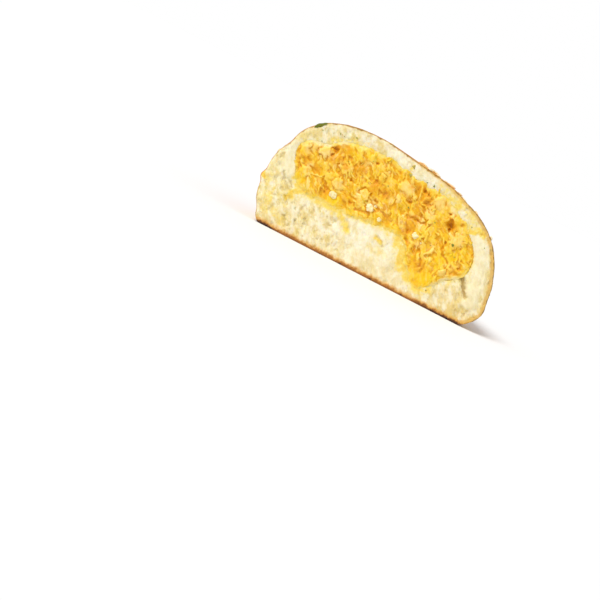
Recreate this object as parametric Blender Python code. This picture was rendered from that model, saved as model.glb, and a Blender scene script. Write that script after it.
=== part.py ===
"""Half of a round, stuffed bread roll, cut down the middle.

Two solids: the bread, which is crust and crumb in one piece, and the filling that runs
through it and shows at the cut. Metres, +Z up. The roll stands on its flat base, and its
cut face looks along -Y. The origin is under the middle of the part's box, on the base.
"""

import math

import bmesh
import bpy
from mathutils import Matrix, Vector

MM = 0.001

# The roll before it was cut, round the Z axis.
ROLL_RADIUS = 54 * MM  # at its widest ring
WIDEST_HEIGHT = 14 * MM
BASE_RADIUS = 47.5 * MM
BASE_EDGE_ROUND = 0.7 * MM
CROWN_SHIFT = -2.8 * MM  # along X, from the base
CROWN_HEIGHT = 53.4 * MM
CROWN_FULLNESS = 2.55  # exponent of the superellipse: 2 is an ellipse, more is boxier
CROWN_TILT = 2.2  # share of its height that the roll loses per metre towards +X
SKIRT_TILT = 4.0  # the same for its widest ring, on top of that

# The dough rose unevenly: waves round the roll, as (waves in a turn, depth, phase).
OUTLINE_WAVES = [(2, 0.012, 1.2), (3, 0.010, 1.2), (5, 0.006, 1.1)]
# Shallow dimples and swells of the crust, as (x, y, z, reach, push outwards).
SWELLS = [
    (-26 * MM, 18 * MM, 46 * MM, 17 * MM, -0.9 * MM),
    (8 * MM, 30 * MM, 44 * MM, 14 * MM, 0.8 * MM),
    (30 * MM, 16 * MM, 42 * MM, 12 * MM, -0.7 * MM),
    (-8 * MM, 40 * MM, 38 * MM, 11 * MM, -0.6 * MM),
    (-49 * MM, 0 * MM, 34 * MM, 14 * MM, -2.8 * MM),
    (-54 * MM, 0 * MM, 5 * MM, 13 * MM, -2.0 * MM),
    (38 * MM, 0 * MM, 40 * MM, 17 * MM, 1.5 * MM),
    (52 * MM, 0 * MM, 8 * MM, 11 * MM, 0.8 * MM),
]
SWELLS_FROM = (0, 0, 18 * MM)  # the point that they are pushed away from
SWELLS_ABOVE = 14 * MM  # they fade out from this height down, so the base stays flat

# The filling where the cut shows it: points round its edge, as (x, z), clockwise.
FILLING_EDGE = [
    (-44.8 * MM, 37.2 * MM),
    (-31.0 * MM, 45.0 * MM),
    (-18.0 * MM, 48.0 * MM),
    (-4.0 * MM, 46.8 * MM),
    (10.0 * MM, 44.6 * MM),
    (21.0 * MM, 43.0 * MM),
    (31.0 * MM, 37.6 * MM),
    (38.4 * MM, 30.2 * MM),
    (40.4 * MM, 22.4 * MM),
    (36.0 * MM, 14.0 * MM),
    (25.2 * MM, 7.4 * MM),
    (18.6 * MM, 11.8 * MM),
    (14.0 * MM, 19.0 * MM),
    (7.5 * MM, 23.4 * MM),
    (-7.0 * MM, 22.4 * MM),
    (-21.0 * MM, 20.6 * MM),
    (-36.4 * MM, 21.6 * MM),
    (-41.8 * MM, 28.4 * MM),
]
FILLING_HEART = (12 * MM, 31 * MM)  # (x, z) that the filling narrows to, all its edge in view
FILLING_DEPTH = 37 * MM  # from the cut, into the roll
FILLING_PROUD = 0.9 * MM  # the soft filling swells out of the cut
FILLING_RIPPLE = 0.35 * MM  # depth of the ripples on its face
RIPPLE_ACROSS = 3.1 * MM  # their lengths over a full turn, divided by 2 pi: along X,
RIPPLE_UP = 2.6 * MM  # along Z,
RIPPLE_LEAN = 7.0 * MM  # and for how they lean
FILLING_BLUNTNESS = 0.8  # how it narrows with depth: 1 is an ellipse, less is blunter
FILLING_GAP = 0.3 * MM  # between the filling and the bread round it
CAVITY_MOUTH = 4 * MM  # how far the cutter for its room stands out of the cut

SAME_POINT = 0.01 * MM  # points nearer than this are one

# How finely the solids are faceted.
TURN_STEPS = 44
BASE_RINGS = 4
SKIRT_RINGS = 7
CROWN_RINGS = 20
EDGE_STEPS = 4  # between two points of the filling's edge
DEPTH_RINGS = 9
FACE_SCALES = [0.12, 0.34, 0.56, 0.76, 0.91]  # rings on the filling's face, from its heart

CRUST_COLOUR = (0.72, 0.36, 0.03, 1)
FILLING_COLOUR = (0.83, 0.48, 0.07, 1)


def clear_scene():
    for obj in list(bpy.data.objects):
        bpy.data.objects.remove(obj)


def finish(name, colour, roughness):
    """A Principled material of one colour."""
    material = bpy.data.materials.new(name)
    material.use_nodes = True
    shader = material.node_tree.nodes["Principled BSDF"]
    shader.inputs["Base Color"].default_value = colour
    shader.inputs["Roughness"].default_value = roughness
    shader.inputs["Metallic"].default_value = 0
    return material


def object_of(bm, name, material):
    """Turns a bmesh into a named object with that material."""
    bmesh.ops.recalc_face_normals(bm, faces=bm.faces)
    mesh = bpy.data.meshes.new(name)
    bm.to_mesh(mesh)
    bm.free()
    mesh.materials.append(material)
    obj = bpy.data.objects.new(name, mesh)
    bpy.context.scene.collection.objects.link(obj)
    return obj


def roll_profile():
    """(radius, height) points from the middle of the base, out to the widest ring and up to the crown."""
    points = []
    flat = BASE_RADIUS - BASE_EDGE_ROUND
    for i in range(BASE_RINGS + 1):
        points.append((flat * i / BASE_RINGS, 0))
    for i in range(1, SKIRT_RINGS + 1):
        rise = i / SKIRT_RINGS
        tuck = (1 - rise) ** 2
        radius = ROLL_RADIUS - (ROLL_RADIUS - BASE_RADIUS) * tuck
        points.append((radius, WIDEST_HEIGHT * rise))
    for i in range(1, CROWN_RINGS + 1):
        turn = 0.5 * math.pi * i / CROWN_RINGS
        out = max(math.cos(turn), 0) ** (2 / CROWN_FULLNESS)
        up = math.sin(turn) ** (2 / CROWN_FULLNESS)
        height = WIDEST_HEIGHT + (CROWN_HEIGHT - WIDEST_HEIGHT) * up
        points.append((ROLL_RADIUS * out, height))
    points[-1] = (0, CROWN_HEIGHT)
    return points


def near_to(point, at, reach):
    """1 at that place, and less further off, with little left at twice the reach."""
    return math.exp(-((point - Vector(at)).length / reach) ** 2)


def as_baked(point):
    """Moves a point of the even roll to where the baked one has it: waved, dimpled, tilted, its crown shifted."""
    turn = math.atan2(point.y, point.x)
    wave = 1 + sum(depth * math.cos(n * turn + phase) for n, depth, phase in OUTLINE_WAVES)
    baked = Vector((point.x * wave, point.y * wave, point.z))
    share = point.z / CROWN_HEIGHT
    baked.z *= 1 - (CROWN_TILT + SKIRT_TILT * (1 - share) ** 2) * baked.x
    baked.x += CROWN_SHIFT * share
    outwards = (baked - Vector(SWELLS_FROM)).normalized()
    push = sum(out * near_to(baked, at, reach) for *at, reach, out in SWELLS)
    return baked + outwards * push * min(point.z / SWELLS_ABOVE, 1)


def make_bread(material):
    """The half roll, turned from its profile, with a flat cut face at y = 0."""
    bm = bmesh.new()
    profile = [bm.verts.new((radius, 0, height)) for radius, height in roll_profile()]
    edges = [bm.edges.new(pair) for pair in zip(profile, profile[1:])]
    bmesh.ops.spin(
        bm,
        geom=profile + edges,
        cent=(0, 0, 0),
        axis=(0, 0, 1),
        angle=math.pi,
        steps=TURN_STEPS,
    )
    bmesh.ops.remove_doubles(bm, verts=bm.verts, dist=SAME_POINT)
    rim = [edge for edge in bm.edges if edge.is_boundary]
    bmesh.ops.holes_fill(bm, edges=rim, sides=0)
    for vert in bm.verts:
        vert.co = as_baked(vert.co)
        if abs(vert.co.y) < SAME_POINT:
            vert.co.y = 0
    bmesh.ops.triangulate(bm, faces=[face for face in bm.faces if len(face.verts) > 4])
    return object_of(bm, "bread", material)


def smooth_edge(points):
    """A closed curve through the points, as a Catmull-Rom spline."""
    curve = []
    count = len(points)
    for i in range(count):
        before, here, there, after = [Vector(points[(i + k) % count]) for k in (-1, 0, 1, 2)]
        for step in range(EDGE_STEPS):
            t = step / EDGE_STEPS
            bend = (2 * before - 5 * here + 4 * there - after) * t * t
            twist = (3 * here - before - 3 * there + after) * t**3
            curve.append(0.5 * (2 * here + (there - before) * t + bend + twist))
    return curve


def grown(curve, by):
    """The closed curve moved outwards by a distance. It runs clockwise, so outwards is to its left."""
    moved = []
    count = len(curve)
    for i, point in enumerate(curve):
        along = curve[(i + 1) % count] - curve[i - 1]
        moved.append(point + by * Vector((-along.y, along.x)).normalized())
    return moved


def ring_at(curve, scale, depth):
    """The curve drawn in towards the filling's heart, as points at that depth or depth function."""
    heart = Vector(FILLING_HEART)
    ring = []
    for point in curve:
        x, z = heart + scale * (point - heart)
        y = depth(x, z) if callable(depth) else depth
        ring.append(Vector((x, y, z)))
    return ring


def face_depth(scale):
    """The depth of the filling's face for a ring drawn in to that scale: negative, as it stands proud."""
    swell = FILLING_PROUD * (1 - scale**3)

    def depth(x, z):
        ripple = math.sin(x / RIPPLE_ACROSS) * math.cos(z / RIPPLE_UP + x / RIPPLE_LEAN)
        return -swell - FILLING_RIPPLE * (1 - scale) * ripple

    return depth


def inner_rings(curve, depth):
    """Rings that narrow from the cut to the filling's deepest point, like half a rounded cushion."""
    rings = []
    for i in range(DEPTH_RINGS):
        turn = 0.5 * math.pi * i / DEPTH_RINGS
        rings.append(ring_at(curve, math.cos(turn) ** FILLING_BLUNTNESS, depth * math.sin(turn)))
    return rings


def loft(rings, name, material):
    """One closed skin through the rings, with a face on each end."""
    bm = bmesh.new()
    loops = []
    for ring in rings:
        verts = [bm.verts.new(point) for point in ring]
        loops.append([bm.edges.new((verts[i - 1], verts[i])) for i in range(len(verts))])
    for first, second in zip(loops, loops[1:]):
        bmesh.ops.bridge_loops(bm, edges=first + second)
    for end in (loops[0], loops[-1]):
        bmesh.ops.contextual_create(bm, geom=end)
    return object_of(bm, name, material)


def make_filling(material):
    """The filling, a cushion behind the cut with a swollen, rippled face."""
    curve = smooth_edge(FILLING_EDGE)
    face = [ring_at(curve, scale, face_depth(scale)) for scale in FACE_SCALES]
    return loft(face + inner_rings(curve, FILLING_DEPTH), "filling", material)


def make_cavity(material):
    """The room that the filling takes in the bread, a gap wider all round and open past the cut."""
    curve = grown(smooth_edge(FILLING_EDGE), FILLING_GAP)
    mouth = ring_at(curve, 1, -CAVITY_MOUTH)
    rings = [mouth] + inner_rings(curve, FILLING_DEPTH + FILLING_GAP)
    cavity = loft(rings, "cavity", material)
    cavity.hide_render = True
    cavity.display_type = "WIRE"
    return cavity


def cut_out(obj, cutter):
    modifier = obj.modifiers.new("room for the filling", "BOOLEAN")
    modifier.operation = "DIFFERENCE"
    modifier.solver = "EXACT"
    modifier.object = cutter


def centre_on_base(parts, others):
    """Moves everything so that the middle of the parts' box, at its bottom, is the origin."""
    points = [vert.co for part in parts for vert in part.data.vertices]
    low = Vector([min(point[i] for point in points) for i in range(3)])
    high = Vector([max(point[i] for point in points) for i in range(3)])
    middle = (low + high) / 2
    shift = Matrix.Translation((-middle.x, -middle.y, -low.z))
    for obj in parts + others:
        obj.data.transform(shift)


def main():
    clear_scene()
    crust = finish("crust", CRUST_COLOUR, 0.35)
    mash = finish("filling", FILLING_COLOUR, 0.55)
    bread = make_bread(crust)
    filling = make_filling(mash)
    cavity = make_cavity(crust)
    centre_on_base([bread, filling], [cavity])
    cut_out(bread, cavity)
    for obj in (bread, filling):
        obj.data.shade_smooth()


main()
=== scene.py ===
import math
import random

import bpy
import numpy as np
from mathutils import Euler, Matrix, Vector, noise
from mathutils.bvhtree import BVHTree


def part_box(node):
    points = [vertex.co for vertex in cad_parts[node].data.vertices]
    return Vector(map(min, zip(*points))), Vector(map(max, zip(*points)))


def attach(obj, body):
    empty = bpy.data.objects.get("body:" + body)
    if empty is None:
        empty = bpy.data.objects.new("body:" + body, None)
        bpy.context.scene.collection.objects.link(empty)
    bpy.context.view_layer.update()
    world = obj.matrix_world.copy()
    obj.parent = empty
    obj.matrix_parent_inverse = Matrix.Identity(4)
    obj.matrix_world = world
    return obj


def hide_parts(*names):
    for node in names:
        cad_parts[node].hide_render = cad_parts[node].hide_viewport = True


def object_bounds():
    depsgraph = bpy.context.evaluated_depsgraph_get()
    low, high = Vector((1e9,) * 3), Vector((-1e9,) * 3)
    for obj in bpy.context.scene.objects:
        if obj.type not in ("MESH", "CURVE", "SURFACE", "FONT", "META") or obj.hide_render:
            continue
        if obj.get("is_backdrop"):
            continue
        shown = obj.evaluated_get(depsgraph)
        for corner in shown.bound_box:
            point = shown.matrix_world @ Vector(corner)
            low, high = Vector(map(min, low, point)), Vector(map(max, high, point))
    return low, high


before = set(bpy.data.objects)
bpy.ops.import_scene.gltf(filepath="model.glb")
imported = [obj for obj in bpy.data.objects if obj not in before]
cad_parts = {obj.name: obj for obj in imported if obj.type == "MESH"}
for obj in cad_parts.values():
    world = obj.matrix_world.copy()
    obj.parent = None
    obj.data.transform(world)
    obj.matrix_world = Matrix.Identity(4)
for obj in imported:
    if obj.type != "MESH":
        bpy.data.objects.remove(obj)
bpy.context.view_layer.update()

# all measures are in millimetres, apart from those that Blender's own tools are given
mm = 0.001
breadLow, breadHigh = [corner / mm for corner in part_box("bread")]
fillingLow, fillingHigh = [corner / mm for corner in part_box("filling")]
cutY = breadLow.y  # the cut face lies in this plane and looks along -Y
bakedTop = breadHigh.z
tenderX = 5  # the crumb is finest and most even round here
hiddenFrom = 3  # so far behind the cut the walls round the filling are out of sight
farOff = 200  # looks at the roll start this far outside
fullCircle = 6.28  # radians
print("frame loaded, cut plane at", round(cutY, 2), "mm")


# everyday helpers

def only(piece):
    bpy.ops.object.select_all(action="DESELECT")
    piece.select_set(True)
    bpy.context.view_layer.objects.active = piece


def added(primitive, name, **settings):
    # a fresh primitive, with nothing else selected
    bpy.ops.object.select_all(action="DESELECT")
    primitive(**settings)
    piece = bpy.context.object
    piece.name = name
    return piece


def copyOfNode(node, name):
    piece = bpy.data.objects.new(name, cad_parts[node].data.copy())
    bpy.context.collection.objects.link(piece)
    piece.data.materials.clear()
    only(piece)
    bpy.ops.object.mode_set(mode="EDIT")
    bpy.ops.mesh.select_all(action="SELECT")
    bpy.ops.mesh.remove_doubles(threshold=0.01 * mm)
    bpy.ops.object.mode_set(mode="OBJECT")
    return piece


def applied(piece, kind, **settings):
    only(piece)
    modifier = piece.modifiers.new(kind.lower(), kind)
    for setting, value in settings.items():
        setattr(modifier, setting, value)
    bpy.ops.object.modifier_apply(modifier=modifier.name)


def places(piece):
    flat = np.empty(len(piece.data.vertices) * 3, np.float32)
    piece.data.vertices.foreach_get("co", flat)
    return flat.reshape(-1, 3).astype(float) / mm


def setPlaces(piece, points):
    piece.data.vertices.foreach_set("co", (points * mm).astype(np.float32).ravel())
    piece.data.update()


def pointNormals(piece):
    flat = np.empty(len(piece.data.vertices) * 3, np.float32)
    piece.data.vertex_normals.foreach_get("vector", flat)
    return flat.reshape(-1, 3).astype(float)


def paintPoints(piece, name, values):
    attribute = piece.data.attributes.new(name, "FLOAT", "POINT")
    attribute.data.foreach_set("value", np.asarray(values, np.float32))


def paintMarks(piece, marks):
    for name, values in marks.items():
        paintPoints(piece, name, values)


def facesWhere(piece, wanted):
    # selects the faces whose centre and normal pass the test, and leaves the piece in edit mode
    only(piece)
    mesh = piece.data
    centres = np.empty(len(mesh.polygons) * 3, np.float32)
    normals = np.empty(len(mesh.polygons) * 3, np.float32)
    mesh.polygons.foreach_get("center", centres)
    mesh.polygons.foreach_get("normal", normals)
    chosen = wanted(centres.reshape(-1, 3) / mm, normals.reshape(-1, 3))
    bpy.ops.object.mode_set(mode="EDIT")
    bpy.ops.mesh.select_mode(type="FACE")
    bpy.ops.mesh.select_all(action="DESELECT")
    bpy.ops.object.mode_set(mode="OBJECT")
    mesh.polygons.foreach_set("select", chosen)
    bpy.ops.object.mode_set(mode="EDIT")


def thinnedWhere(piece, hidden, keep):
    # only the faces at the hidden points are thinned, to the share kept
    group = piece.vertex_groups.new(name="hidden")
    group.add([int(i) for i in np.nonzero(hidden)[0]], 1.0, "REPLACE")
    share = np.count_nonzero(hidden) / len(hidden)
    applied(piece, "DECIMATE", ratio=1 - share * (1 - keep), vertex_group="hidden")
    piece.vertex_groups.clear()


def placedCopy(kind, place, turn, scale=1.0):
    # turn is a 3x3 matrix whose columns are the copy's own axes
    copy = bpy.data.objects.new(kind.name, kind.data.copy())
    bpy.context.collection.objects.link(copy)
    sized = Matrix.Diagonal((scale, scale, scale, 1))
    copy.matrix_world = Matrix.Translation(place * mm) @ turn.to_4x4() @ sized
    return copy


def joined(copies, kinds, name):
    bpy.ops.object.select_all(action="DESELECT")
    for copy in copies:
        copy.select_set(True)
    bpy.context.view_layer.objects.active = copies[0]
    bpy.ops.object.join()
    bpy.ops.object.transform_apply(location=True, rotation=True, scale=True)
    piece = bpy.context.object
    piece.name = name
    piece.data.name = name
    bpy.ops.object.shade_smooth()
    for kind in kinds:
        bpy.data.objects.remove(kind)
    return piece


def facing(out, along):
    # axes for a flat thing that lies on a surface: Z points out of it, X runs along it
    out = out.normalized()
    along = (along - out * along.dot(out)).normalized()
    return Matrix((along, out.cross(along), out)).transposed()


def smoothNoise(points, size, seed, octaves=2):
    # about -1 to 1, with a bump roughly every size
    shift = Vector((seed * 7.13, seed * 3.71, seed * 5.39))
    return np.array([noise.fractal(Vector(p) + shift, 1.0, 2.0, octaves) for p in points / size])


def warped(points, reach, size, seed):
    # the points moved about in the cut's plane, so that what is drawn on them comes out ragged
    moved = points.copy()
    moved[:, 0] += reach * smoothNoise(points, size, seed)
    moved[:, 2] += reach * smoothNoise(points, size, seed + 1)
    return moved


def fromSpot(points, x, z):
    # distance in the cut's plane from each point to a spot
    return np.hypot(points[:, 0] - x, points[:, 2] - z)


def fromLine(points, line):
    # the same to a line of (x, z) points
    nearest = np.full(len(points), np.inf)
    flat = points[:, (0, 2)]
    for start, end in zip(line, line[1:]):
        start, end = np.array(start), np.array(end)
        stretch = end - start
        share = np.clip((flat - start) @ stretch / (stretch @ stretch), 0, 1)
        nearest = np.minimum(nearest, np.linalg.norm(flat - start - share[:, None] * stretch, axis=1))
    return nearest


def behindCut(points):
    return points[:, 1] - cutY


def leant(lean, dx, dz):
    # the same offsets, lengthwise and across a direction that leans up from X
    return dx * math.cos(lean) + dz * math.sin(lean), dz * math.cos(lean) - dx * math.sin(lean)


def softStep(values, low, high):
    share = np.clip((values - low) / (high - low), 0, 1)
    return share * share * (3 - 2 * share)


def fading(values, start, end):
    # 1 up to the start and 0 from the end on
    return 1 - softStep(values, start, end)


def surfaceTree(piece):
    mesh = piece.data
    return BVHTree.FromPolygons([v.co / mm for v in mesh.vertices], [p.vertices for p in mesh.polygons])


def distances(tree, points):
    return np.array([tree.find_nearest(Vector(p))[3] for p in points])


def seenFromFront(tree, x, z):
    # where a look straight at the cut meets the surface, and the normal there
    return tree.ray_cast(Vector((x, cutY - farOff, z)), Vector((0, 1, 0)))[:2]


def treeWithout(node, unwanted):
    # the surface of a CAD node without the faces that pass the test
    rest = copyOfNode(node, "rest of " + node)
    facesWhere(rest, unwanted)
    bpy.ops.mesh.delete(type="FACE")
    bpy.ops.object.mode_set(mode="OBJECT")
    tree = surfaceTree(rest)
    bpy.data.objects.remove(rest)
    return tree


def refined(piece, look, onFace):
    # an even grid all over, twice as fine on the faces at the cut
    applied(piece, "REMESH", mode="VOXEL", voxel_size=look["grid"] * mm)
    facesWhere(piece, onFace)
    bpy.ops.mesh.subdivide(number_cuts=1)
    bpy.ops.object.mode_set(mode="OBJECT")


def lyingBall(name, segments, rings, halfSizes):
    # a ball with its poles at the ends of X, drawn out to its half sizes
    ball = added(bpy.ops.mesh.primitive_uv_sphere_add, name, segments=segments, ring_count=rings,
                 radius=1 * mm, rotation=(0, math.radians(90), 0))
    bpy.ops.object.transform_apply(location=False, rotation=True, scale=False)
    bpy.ops.transform.resize(value=halfSizes)
    bpy.ops.object.transform_apply(location=False, rotation=False, scale=True)
    return ball


def crumbled(piece, size, strength, detail=2, coords="LOCAL"):
    cloud = bpy.data.textures.new(piece.name, "CLOUDS")
    cloud.noise_scale = size * mm
    cloud.noise_depth = detail
    applied(piece, "DISPLACE", texture=cloud, texture_coords=coords, strength=strength * mm, mid_level=0.5)


# material helpers

def hexColour(text):
    channels = [int(text[i:i + 2], 16) / 255 for i in (1, 3, 5)]
    linear = [c / 12.92 if c <= 0.04045 else ((c + 0.055) / 1.055) ** 2.4 for c in channels]
    return (*linear, 1)


def newMaterial(name):
    mat = bpy.data.materials.new(name)
    mat.use_nodes = True
    return mat


def feed(mat, socket, value):
    # a socket takes another node's output, a hex colour or a plain number
    if isinstance(value, bpy.types.NodeSocket):
        mat.node_tree.links.new(value, socket)
    elif isinstance(value, str):
        socket.default_value = hexColour(value)
    else:
        socket.default_value = value


def newNode(mat, kind, inputs, **settings):
    node = mat.node_tree.nodes.new(kind)
    for setting, value in settings.items():
        setattr(node, setting, value)
    for name, value in inputs.items():
        feed(mat, node.inputs[name], value)
    return node


def finish(mat, **values):
    # the shader's sockets by name, with _ for a space
    shader = mat.node_tree.nodes["Principled BSDF"]
    for name, value in values.items():
        feed(mat, shader.inputs[name.replace("_", " ")], value)
    return mat


def objectPlace(mat):
    place = newNode(mat, "ShaderNodeTexCoord", {}).outputs["Object"]
    inMillimetres = newNode(mat, "ShaderNodeVectorMath", {0: place, "Scale": 1 / mm}, operation="SCALE")
    return inMillimetres.outputs["Vector"]


def axes(mat):
    return newNode(mat, "ShaderNodeSeparateXYZ", {"Vector": objectPlace(mat)}).outputs


def stretched(mat, scale, turn):
    # the place turned first and then drawn out, so that the pattern runs along the turned axes
    return newNode(mat, "ShaderNodeMapping", {"Vector": objectPlace(mat), "Scale": scale, "Rotation": turn},
                   vector_type="TEXTURE").outputs["Vector"]


def attribute(mat, name):
    return newNode(mat, "ShaderNodeAttribute", {}, attribute_name=name).outputs["Fac"]


def speckle(mat, size, detail=3, roughness=0.5, distortion=0.0, place=None):
    return newNode(mat, "ShaderNodeTexNoise", {"Vector": place or objectPlace(mat), "Scale": 1 / size,
                                               "Detail": detail, "Roughness": roughness,
                                               "Distortion": distortion}).outputs["Fac"]


def cells(mat, size, place=None):
    return newNode(mat, "ShaderNodeTexVoronoi", {"Vector": place or objectPlace(mat),
                                                 "Scale": 1 / size}).outputs["Distance"]


def spread(mat, value, low, high, toLow=0.0, toHigh=1.0, soft=False):
    return newNode(mat, "ShaderNodeMapRange", {"Value": value, "From Min": low, "From Max": high,
                                               "To Min": toLow, "To Max": toHigh},
                   interpolation_type="SMOOTHSTEP" if soft else "LINEAR").outputs["Result"]


def calc(mat, operation, first, second=0.0):
    return newNode(mat, "ShaderNodeMath", {0: first, 1: second}, operation=operation).outputs["Value"]


def wavering(mat, value, reach, size, detail=3, roughness=0.5):
    # the value moved up and down, so that what is drawn from it has a ragged edge
    shift = spread(mat, speckle(mat, size, detail, roughness), 0.3, 0.7, -reach, reach)
    return calc(mat, "ADD", value, shift)


def mixed(mat, share, first, second):
    return newNode(mat, "ShaderNodeMix", {0: share, 6: first, 7: second}, data_type="RGBA").outputs[2]


def over(mat, colour, tint, value, low, high, most=1.0, within=None, soft=False):
    # the tint over the colour: none where the value is at low, the most where it is at high
    share = spread(mat, value, low, high, 0, most, soft)
    if within:
        share = calc(mat, "MULTIPLY", share, within)
    return mixed(mat, share, colour, tint)


def layered(mat, colour, layers):
    # each layer holds what over takes after the colour, and lies on top of the ones before it
    for layer in layers:
        colour = over(mat, colour, *layer)
    return colour


def ramped(mat, value, stops):
    node = newNode(mat, "ShaderNodeValToRGB", {"Fac": value})
    elements = node.color_ramp.elements
    while len(elements) < len(stops):
        elements.new(0.5)
    for element, (position, colour) in zip(elements, stops):
        element.position = position
        element.color = hexColour(colour)
    return node.outputs["Color"]


def bumped(mat, height, distance, under=None):
    inputs = {"Height": height, "Distance": distance * mm}
    if under:
        inputs["Normal"] = under
    return newNode(mat, "ShaderNodeBump", inputs).outputs["Normal"]


# the bread: crust outside, crumb at the cut

rollLook = {
    "grid": 0.6,
    "hiddenKept": 0.3,  # share of the faces kept on the hidden walls round the filling
    "swellSize": 19, "swell": 0.45,
    "dimpleSize": 9, "dimple": 0.22,
    "puckerSize": 4, "pucker": 0.14,
    "tearSize": 2.0, "tear": 0.26,
    "waveSize": 8, "wave": 0.4,
    "lumpSize": 3.4, "lump": 0.2,
    "pores": 2200, "poreSize": (0.2, 1.0), "poreDepth": (0.1, 0.45),
    "poreLean": -60, "leanSpread": 28,  # degrees: the pores and tears lean down to the right
    "ragged": 0.5, "raggedSize": 0.9,
    "coarse": (11, 22),  # so far aside of the tender middle the crumb gets coarse
    "lipDrop": 0.25, "cornerDrop": 0.4,  # the crumb and its corner sink where the filling runs out
    "rind": (0.2, 1.6),  # the crumb's relief sets in from here to here under the crust
    "grease": (0.4, 4.2),  # the stain round the filling fades from here to here
    "greasyBelow": (28, 42),  # and between these heights it gets weaker
    "blot": 1.3, "blotSize": 3,
}

# what is drawn on the cut has a spot's x and z or a line of such points first
# (x, z, reach, depth): where the crust is drawn in, or swells out if the depth is negative
dents = [(-54.5, 18.6, 3.4, -1.0), (-50, 36, 7, 0.9), (-52, 5, 5, 0.7), (51, 8, 6, -0.5)]
# (line, reach, rise): smooth folds of dough beside the filling
smoothFolds = [
    ([(35.6, 33.8), (39.6, 33.4), (43.0, 28.5), (44.8, 22), (46.0, 15), (46.4, 11)], 4.4, 0.7),
    ([(-48.6, 36), (-46.4, 30), (-44.8, 25)], 3.4, 0.45),
]
# (line, reach, depth): where the crumb has parted
creases = [
    ([(38.8, 18.4), (40.4, 16.8), (41.8, 14.2), (43.8, 11.8)], 0.85, 1.5),
    ([(-46.6, 24), (-44.9, 20.8), (-42, 18)], 0.5, 0.8),
    ([(-42.6, 21.4), (-40.8, 19.4)], 0.5, 0.8),
    ([(-41.5, 15), (-39.6, 12.4)], 0.5, 0.7),
    ([(-38.4, 7.6), (-37.3, 5.7), (-36.2, 4.2)], 0.6, 0.9),
    ([(-33.4, 8.2), (-32.4, 6.2)], 0.5, 0.8),
    ([(-29.9, 10.2), (-28.8, 8.0)], 0.5, 0.8),
    ([(43.6, 31.5), (46, 26.0), (47, 19.0)], 0.5, 0.25),
    ([(41.4, 27.0), (42.8, 22.0), (43.4, 17.4)], 0.5, 0.2),
    ([(0.2, 17.4), (2.8, 16.2), (4, 14.8)], 0.6, 0.6),
]
# (line, reach, strength): grease and sauce in the crumb
stains = [
    ([(-40.5, 14.5), (-39, 17.6), (-36.4, 21)], 2.6, 1.0),
    ([(-25, 20.5), (-19, 19.5), (-15, 16.5), (-13, 14.5)], 3.2, 0.8),
    ([(-11, 21.5), (1, 21.5), (8, 20)], 2.6, 0.5),
    ([(9, 20), (13, 16), (16, 11)], 5.4, 1.1),
    ([(18, 8.5), (24, 5.4), (30, 7.5)], 2.8, 1.0),
    ([(-0.5, 17.4), (2.4, 15.8)], 2.0, 0.9),
    ([(-1.5, 12.6), (6.2, 12)], 2.4, 0.35),
    ([(-48.3, 15), (-47, 9)], 2.6, 0.55),
    ([(-42.5, 7.5), (-38, 4.5)], 3.2, 0.45),
    ([(-51.5, 20), (-49.5, 13), (-46.5, 6)], 2.6, 0.45),
    ([(-35, 45.5), (-27, 48.4), (-21, 49.2)], 2.2, 0.6),
    ([(22.8, 42), (24.2, 44.5), (24.4, 47.2)], 3.0, 1.2),
    ([(30, 38), (34, 37.8), (39, 38.9)], 2.4, 1.2),
    ([(14, 48.6), (24, 46.2), (33, 41.6)], 3.2, 0.6),
    ([(0.5, 47), (0.6, 51)], 1.8, 0.6),
    ([(18, 46.5), (21, 45)], 2.6, 0.7),
    ([(-54, 19.4), (-52.8, 18)], 1.6, 1.2),
]
# (x, z, to the right, up, radius): where crumb and filling lie shifted at the cut
nudges = [(34.5, 10.5, -1.3, 1.9, 10), (-36, 44, 0.7, -1.5, 7)]
# (x, z, radius): where the crumb beside the filling stayed clean
cleanCrumb = [(33, 9, 5.5), (40, 16, 6), (42, 21, 4)]


def pitDepths(points, pits):
    deepest = np.zeros(len(points))
    for x, z, length, width, lean, depth in pits:
        dx, dz = points[:, 0] - x, points[:, 2] - z
        near = np.nonzero((abs(dx) < length) & (abs(dz) < length))[0]
        lengthwise, across = leant(lean, dx[near], dz[near])
        share = np.clip(1 - (lengthwise / length) ** 2 - (across / width) ** 2, 0, 1)
        deepest[near] = np.maximum(deepest[near], depth * share)
    return deepest


def scatteredPores(look):
    rng = random.Random(11)
    smallest, largest = look["poreSize"]
    pits = []
    for _ in range(look["pores"]):
        size = smallest + (largest - smallest) * rng.random() ** 4
        lean = math.radians(look["poreLean"] + rng.gauss(0, look["leanSpread"]))
        depth = rng.uniform(*look["poreDepth"]) * (0.6 + size)
        x, z = rng.uniform(breadLow.x, breadHigh.x), rng.uniform(breadLow.z, breadHigh.z)
        pits.append((x, z, size * rng.uniform(1.2, 3.0), size, lean, depth))
    return pits


def bakedShape(points, look, onCrust):
    # the bread swells and dips a little all over, and its skin puckers
    middle = np.array((0, cutY, 0.35 * bakedTop))
    outwards = points - middle
    reach = np.linalg.norm(outwards, axis=1)
    outwards /= reach[:, None]
    lifted = softStep(points[:, 2], 0.5, 9) * softStep(reach, 14, 40)
    move = look["swell"] * smoothNoise(points, look["swellSize"], 3)
    move += look["dimple"] * smoothNoise(points, look["dimpleSize"], 4) * onCrust
    move += look["pucker"] * smoothNoise(points, look["puckerSize"], 5) * onCrust
    shaped = points + outwards * (move * lifted)[:, None] * np.array((1, 0, 1))
    fade = fading(behindCut(points), 0, 22)
    for x, z, size, depth in dents:
        near = fading(fromSpot(points, x, z), 0, size) * softStep(reach, 26, 40) * fade
        shaped -= outwards * (depth * near)[:, None] * np.array((1, 0, 1))
    behind = softStep(behindCut(points), 0, 6) * onCrust
    shaped[:, 1] += outwards[:, 1] * move * lifted * behind
    return shaped


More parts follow.
